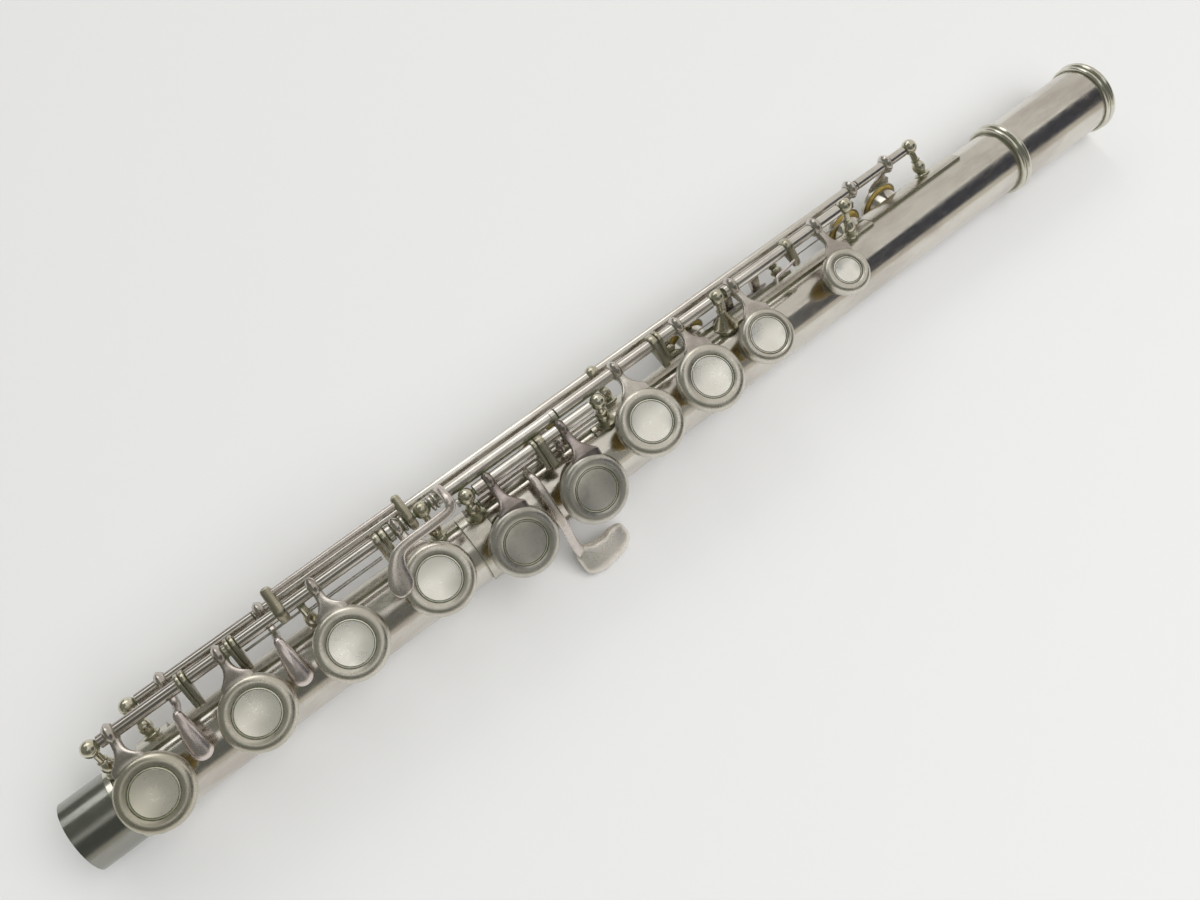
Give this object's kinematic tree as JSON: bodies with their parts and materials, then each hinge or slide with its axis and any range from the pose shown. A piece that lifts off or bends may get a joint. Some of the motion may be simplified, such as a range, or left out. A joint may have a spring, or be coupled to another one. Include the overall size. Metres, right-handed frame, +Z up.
{
  "type": "flute body joint",
  "caption": "Middle joint of a closed-hole concert flute: tube with barrel socket and foot tenon, rod-mounted keys with padded cups, trill, thumb and side levers.",
  "frame": {"origin": "on the tube's axis at the end of the foot tenon", "axes": "+X along the tube towards the head joint, +Z up with the joint lying on a table, hinge rods on the +Y side"},
  "size_m": [0.361, 0.0443, 0.0384],
  "materials": {
    "tube": "polished and tarnished",
    "rings": "polished, green in the crevices",
    "cups": "satin, worn",
    "keywork": "polished and tarnished",
    "posts": "tarnished, green at the feet",
    "ribs": "tarnished",
    "steel": "drawn",
    "pads": "yellowed skin over felt"
  },
  "bodies": {
    "body": {"body_tube": "tube", "barrel": "tube", "barrel_rings": "rings", "tenon_ring": "tube", "right_hand_rib": "ribs", "left_hand_rib": "ribs", "trill_plates": "ribs", "trill_strap": "ribs", "thumb_rib": "ribs", "g_saddles": "ribs", "main_posts": "posts", "trill_posts": "posts", "g_posts": "posts", "thumb_posts": "posts", "spring_post": "posts", "hinge_steels": "steel", "needle_springs": "steel"},
    "d": {"d_key": "keywork", "d_cup": "cups", "d_pad": "pads"},
    "e": {"e_key": "keywork", "e_cup": "cups", "e_pad": "pads"},
    "f": {"f_key": "keywork", "f_cup": "cups", "f_pad": "pads"},
    "f_sharp": {"f_sharp_key": "keywork", "f_sharp_cup": "cups", "f_sharp_pad": "pads"},
    "b_flat": {"b_flat_lever": "keywork"},
    "lower_g": {"lower_g_key": "keywork", "lower_g_cup": "cups", "lower_g_pad": "pads"},
    "upper_g": {"upper_g_key": "keywork", "upper_g_cup": "cups", "upper_g_pad": "pads"},
    "a": {"a_key": "keywork", "a_cup": "cups", "a_pad": "pads"},
    "a_sharp": {"a_sharp_key": "keywork", "a_sharp_cup": "cups", "a_sharp_pad": "pads"},
    "c": {"c_key": "keywork", "c_cup": "cups", "c_sharp_cup": "cups", "c_pad": "pads"},
    "g_sharp": {"g_sharp_key": "keywork", "g_sharp_cup": "cups", "g_sharp_pad": "pads", "g_sharp_touch": "keywork"},
    "d_trill": {"d_trill_key": "keywork", "d_trill_cup": "cups", "d_trill_pad": "pads"},
    "d_sharp_trill": {"d_sharp_trill_key": "keywork", "d_sharp_trill_cup": "cups", "d_sharp_trill_pad": "pads"},
    "thumb_b": {"thumb_b_key": "keywork", "thumb_b_cup": "cups", "thumb_b_pad": "pads"},
    "thumb_b_flat": {"thumb_b_flat_key": "keywork"}
  },
  "joints": [
    {"name": "d_hinge", "type": "hinge", "parent": "body", "child": "d", "pos_m": [0.0301, 0.01076, 0.01791], "axis": [1, 0, 0], "range_deg": [0, 8.7], "stiffness_Nm_per_rad": 0.03, "springref_deg": -14.32},
    {"name": "e_hinge", "type": "hinge", "parent": "body", "child": "e", "pos_m": [0.0492, 0.01076, 0.01791], "axis": [1, 0, 0], "range_deg": [0, 8.7], "stiffness_Nm_per_rad": 0.03, "springref_deg": -14.32},
    {"name": "f_hinge", "type": "hinge", "parent": "body", "child": "f", "pos_m": [0.0784, 0.01076, 0.01791], "axis": [1, 0, 0], "range_deg": [0, 8.7], "stiffness_Nm_per_rad": 0.03, "springref_deg": -14.32},
    {"name": "f_sharp_hinge", "type": "hinge", "parent": "body", "child": "f_sharp", "pos_m": [0.103, 0.01076, 0.01791], "axis": [1, 0, 0], "range_deg": [0, 8.7], "stiffness_Nm_per_rad": 0.03, "springref_deg": -14.32},
    {"name": "b_flat_hinge", "type": "hinge", "parent": "body", "child": "b_flat", "pos_m": [0.1347, 0.01076, 0.01791], "axis": [1, 0, 0], "range_deg": [0, 6], "stiffness_Nm_per_rad": 0.03, "springref_deg": -14.32},
    {"name": "lower_g_hinge", "type": "hinge", "parent": "body", "child": "lower_g", "pos_m": [0.1355, 0.00647, 0.01808], "axis": [1, 0, 0], "range_deg": [0, 8.7], "stiffness_Nm_per_rad": 0.03, "springref_deg": -14.32},
    {"name": "upper_g_hinge", "type": "hinge", "parent": "body", "child": "upper_g", "pos_m": [0.1549, 0.00647, 0.01808], "axis": [1, 0, 0], "range_deg": [0, 8.7], "stiffness_Nm_per_rad": 0.03, "springref_deg": -14.32},
    {"name": "a_hinge", "type": "hinge", "parent": "body", "child": "a", "pos_m": [0.1725, 0.01076, 0.01791], "axis": [1, 0, 0], "range_deg": [0, 8.7], "stiffness_Nm_per_rad": 0.03, "springref_deg": -14.32},
    {"name": "a_sharp_hinge", "type": "hinge", "parent": "body", "child": "a_sharp", "pos_m": [0.1998, 0.01076, 0.01791], "axis": [1, 0, 0], "range_deg": [0, 8.7], "stiffness_Nm_per_rad": 0.03, "springref_deg": -14.32},
    {"name": "c_hinge", "type": "hinge", "parent": "body", "child": "c", "pos_m": [0.236, 0.01076, 0.01791], "axis": [1, 0, 0], "range_deg": [0, 8.7], "stiffness_Nm_per_rad": 0.03, "springref_deg": -14.32},
    {"name": "g_sharp_hinge", "type": "hinge", "parent": "body", "child": "g_sharp", "pos_m": [0.1447, 0.00465, 0.01299], "axis": [1, 0, 0], "range_deg": [0, 9], "stiffness_Nm_per_rad": 0.03, "springref_deg": -14.32},
    {"name": "d_trill_hinge", "type": "hinge", "parent": "body", "child": "d_trill", "pos_m": [0.1673, 0.0164, 0.01144], "axis": [1, 0, 0], "range_deg": [0, 8.5], "stiffness_Nm_per_rad": 0.03, "springref_deg": -14.32},
    {"name": "d_sharp_trill_hinge", "type": "hinge", "parent": "body", "child": "d_sharp_trill", "pos_m": [0.1604, 0.0164, 0.01144], "axis": [1, 0, 0], "range_deg": [0, 8.5], "stiffness_Nm_per_rad": 0.03, "springref_deg": -14.32},
    {"name": "thumb_b_hinge", "type": "hinge", "parent": "body", "child": "thumb_b", "pos_m": [0.2123, 0.01556, 0.00548], "axis": [1, 0, 0], "range_deg": [-9, 0], "stiffness_Nm_per_rad": 0.03, "springref_deg": 14.32},
    {"name": "thumb_b_flat_hinge", "type": "hinge", "parent": "body", "child": "thumb_b_flat", "pos_m": [0.2307, 0.01556, 0.00548], "axis": [1, 0, 0], "range_deg": [-9, 0], "stiffness_Nm_per_rad": 0.03, "springref_deg": 14.32}
  ],
  "couplings": [
    {"joint": "f_sharp_hinge", "follows": "f_hinge", "ratio": 1},
    {"joint": "a_sharp_hinge", "follows": "a_hinge", "ratio": 1},
    {"joint": "lower_g_hinge", "follows": "upper_g_hinge", "ratio": 1}
  ]
}
